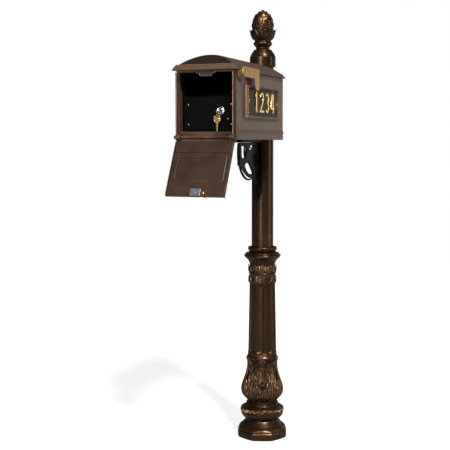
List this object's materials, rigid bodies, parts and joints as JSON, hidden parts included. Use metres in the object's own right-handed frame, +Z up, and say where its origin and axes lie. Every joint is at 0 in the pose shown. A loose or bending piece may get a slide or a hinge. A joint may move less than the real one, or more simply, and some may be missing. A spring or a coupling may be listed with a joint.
{
  "type": "post-mounted mailbox with locking insert",
  "caption": "Cast mailbox on a decorative post: drop-down front door, locking insert with keys, side flag, number plate, scroll bracket and pineapple finial.",
  "frame": {"origin": "on the post's axis at the underside of its anchor flange, which stands on the ground", "axes": "+Z up along the post, -Y towards the mailbox's front door, +X the side with the flag and number plate"},
  "size_m": [0.2193, 0.7103, 1.5083],
  "materials": {
    "bronze_casting": "satin hammered bronze",
    "box_paint": "satin textured bronze",
    "door_paint": "satin brown",
    "black_paint": "satin black",
    "black_steel": "satin black",
    "plate_paint": "textured olive",
    "polished_brass": "polished",
    "flag_gold": "satin gold",
    "zinc": "zinc plated",
    "chrome": "polished",
    "magnet": "matte"
  },
  "bodies": {
    "mailbox": {"anchor_flange": "black_steel", "post_tube": "bronze_casting", "base_casting": "bronze_casting", "vase_casting": "bronze_casting", "fluted_column": "bronze_casting", "capital_casting": "bronze_casting", "trim_ring": "bronze_casting", "trim_set_screw": "black_paint", "finial_collar": "bronze_casting", "collar_set_screw": "black_paint", "finial_stud": "zinc", "pineapple_finial": "bronze_casting", "post_saddle": "black_paint", "saddle_bolt_lower": "black_paint", "saddle_bolt_upper": "black_paint", "support_arm": "black_paint", "scroll_bracket": "black_paint", "mount_plate": "black_steel", "floor_panel": "box_paint", "box_bolt_rear": "zinc", "box_bolt_front": "zinc", "left_side_panel": "box_paint", "right_side_panel": "box_paint", "back_panel": "box_paint", "front_frame": "box_paint", "roof": "box_paint", "hinge_rod": "bronze_casting", "catch_bracket": "chrome", "catch_magnet": "magnet", "insert_support": "black_steel", "insert_shell": "black_steel", "insert_chute": "black_steel", "insert_hinge_pin": "zinc", "plate_frame": "box_paint", "number_plate": "plate_paint", "plate_screw_front": "polished_brass", "plate_screw_rear": "polished_brass", "rope_trim_front": "bronze_casting", "rope_trim_rear": "bronze_casting", "numeral_1": "polished_brass", "numeral_2": "polished_brass", "numeral_3": "polished_brass", "numeral_4": "polished_brass", "flag_boss": "box_paint", "flag_bolt": "polished_brass", "flag_nut": "zinc"},
    "mail_door": {"mail_door": "door_paint", "strike_plate": "zinc", "strike_screw": "zinc", "door_knob": "polished_brass", "knob_screw": "polished_brass"},
    "flag": {"flag": "flag_gold"},
    "insert_door": {"insert_door": "black_steel", "lock_body": "chrome", "lock_nut": "zinc"},
    "lock_plug": {"lock_plug": "chrome", "lock_cam": "zinc", "key": "polished_brass"},
    "spare_key": {"key_link": "zinc", "spare_key": "polished_brass"}
  },
  "joints": [
    {"name": "mail_door_hinge", "type": "hinge", "parent": "mailbox", "child": "mail_door", "pos_m": [0, -0.527, 1.065], "axis": [1, 0, 0], "range_deg": [-153, 0]},
    {"name": "flag_pivot", "type": "hinge", "parent": "mailbox", "child": "flag", "pos_m": [0.1086, -0.485, 1.259], "axis": [1, 0, 0], "range_deg": [0, 90]},
    {"name": "insert_door_hinge", "type": "hinge", "parent": "mailbox", "child": "insert_door", "pos_m": [-0.079, -0.49425, 1.136], "axis": [0, 0, -1], "range_deg": [0, 95]},
    {"name": "lock_turn", "type": "hinge", "parent": "insert_door", "child": "lock_plug", "pos_m": [0.037, -0.487, 1.144], "axis": [0, 1, 0], "range_deg": [0, 90]},
    {"name": "spare_key_swing", "type": "hinge", "parent": "lock_plug", "child": "spare_key", "pos_m": [0.037, -0.5213, 1.144], "axis": [0, 1, 0], "range_deg": [-36, 36]}
  ]
}
